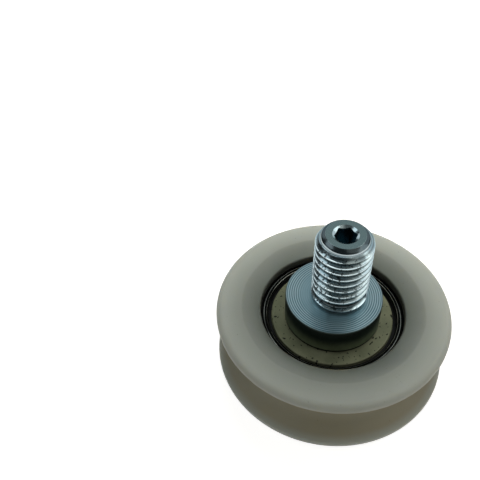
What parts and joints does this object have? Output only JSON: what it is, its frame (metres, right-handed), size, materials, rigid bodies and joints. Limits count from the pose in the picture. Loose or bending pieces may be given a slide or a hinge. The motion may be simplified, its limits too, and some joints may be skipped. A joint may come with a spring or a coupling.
{
  "type": "garage door roller",
  "caption": "Grooved nylon wheel with a shielded ball bearing in its hub, carried on an eccentric threaded stud with a round collar and a hexagon socket.",
  "frame": {"origin": "on the wheel's axis, in the plane of the wheel's back face", "axes": "+Z along the stud, from the back face to the stud's threaded end; +X from the wheel's axis towards the stud's axis"},
  "size_m": [0.05, 0.05, 0.0361],
  "materials": {
    "nylon": "satin",
    "bearing_steel": "polished",
    "shield_steel": "matte",
    "cage_steel": "satin",
    "ball_steel": "polished",
    "zinc_steel": "turned, bright zinc plate"
  },
  "bodies": {
    "axle": {"stud": "zinc_steel", "inner_ring": "bearing_steel"},
    "roller": {"wheel": "nylon", "outer_ring": "bearing_steel", "shield_front": "shield_steel", "shield_back": "shield_steel"},
    "cage": {"cage_front": "cage_steel", "cage_back": "cage_steel", "cage_rivet_1": "cage_steel", "cage_rivet_2": "cage_steel", "cage_rivet_3": "cage_steel", "cage_rivet_4": "cage_steel", "cage_rivet_5": "cage_steel", "cage_rivet_6": "cage_steel", "cage_rivet_7": "cage_steel"},
    "rolling_ball_1": {"ball_1": "ball_steel"},
    "rolling_ball_2": {"ball_2": "ball_steel"},
    "rolling_ball_3": {"ball_3": "ball_steel"},
    "rolling_ball_4": {"ball_4": "ball_steel"},
    "rolling_ball_5": {"ball_5": "ball_steel"},
    "rolling_ball_6": {"ball_6": "ball_steel"},
    "rolling_ball_7": {"ball_7": "ball_steel"}
  },
  "joints": [
    {"name": "wheel_spin", "type": "hinge", "parent": "axle", "child": "roller", "pos_m": [0, 0, 0.008], "axis": [0, 0, 1], "continuous": true},
    {"name": "cage_orbit", "type": "hinge", "parent": "axle", "child": "cage", "pos_m": [0, 0, 0.008], "axis": [0, 0, 1], "continuous": true},
    {"name": "ball_1_spin", "type": "hinge", "parent": "cage", "child": "rolling_ball_1", "pos_m": [0.011, 0, 0.008], "axis": [0, 0, 1], "continuous": true},
    {"name": "ball_2_spin", "type": "hinge", "parent": "cage", "child": "rolling_ball_2", "pos_m": [0.00686, 0.0086, 0.008], "axis": [0, 0, 1], "continuous": true},
    {"name": "ball_3_spin", "type": "hinge", "parent": "cage", "child": "rolling_ball_3", "pos_m": [-0.00245, 0.01072, 0.008], "axis": [0, 0, 1], "continuous": true},
    {"name": "ball_4_spin", "type": "hinge", "parent": "cage", "child": "rolling_ball_4", "pos_m": [-0.00991, 0.00477, 0.008], "axis": [0, 0, 1], "continuous": true},
    {"name": "ball_5_spin", "type": "hinge", "parent": "cage", "child": "rolling_ball_5", "pos_m": [-0.00991, -0.00477, 0.008], "axis": [0, 0, 1], "continuous": true},
    {"name": "ball_6_spin", "type": "hinge", "parent": "cage", "child": "rolling_ball_6", "pos_m": [-0.00245, -0.01072, 0.008], "axis": [0, 0, 1], "continuous": true},
    {"name": "ball_7_spin", "type": "hinge", "parent": "cage", "child": "rolling_ball_7", "pos_m": [0.00686, -0.0086, 0.008], "axis": [0, 0, 1], "continuous": true}
  ],
  "couplings": [
    {"joint": "cage_orbit", "follows": "wheel_spin", "ratio": 0.63523},
    {"joint": "ball_1_spin", "follows": "wheel_spin", "ratio": 1.7135},
    {"joint": "ball_2_spin", "follows": "wheel_spin", "ratio": 1.7135},
    {"joint": "ball_3_spin", "follows": "wheel_spin", "ratio": 1.7135},
    {"joint": "ball_4_spin", "follows": "wheel_spin", "ratio": 1.7135},
    {"joint": "ball_5_spin", "follows": "wheel_spin", "ratio": 1.7135},
    {"joint": "ball_6_spin", "follows": "wheel_spin", "ratio": 1.7135},
    {"joint": "ball_7_spin", "follows": "wheel_spin", "ratio": 1.7135}
  ]
}
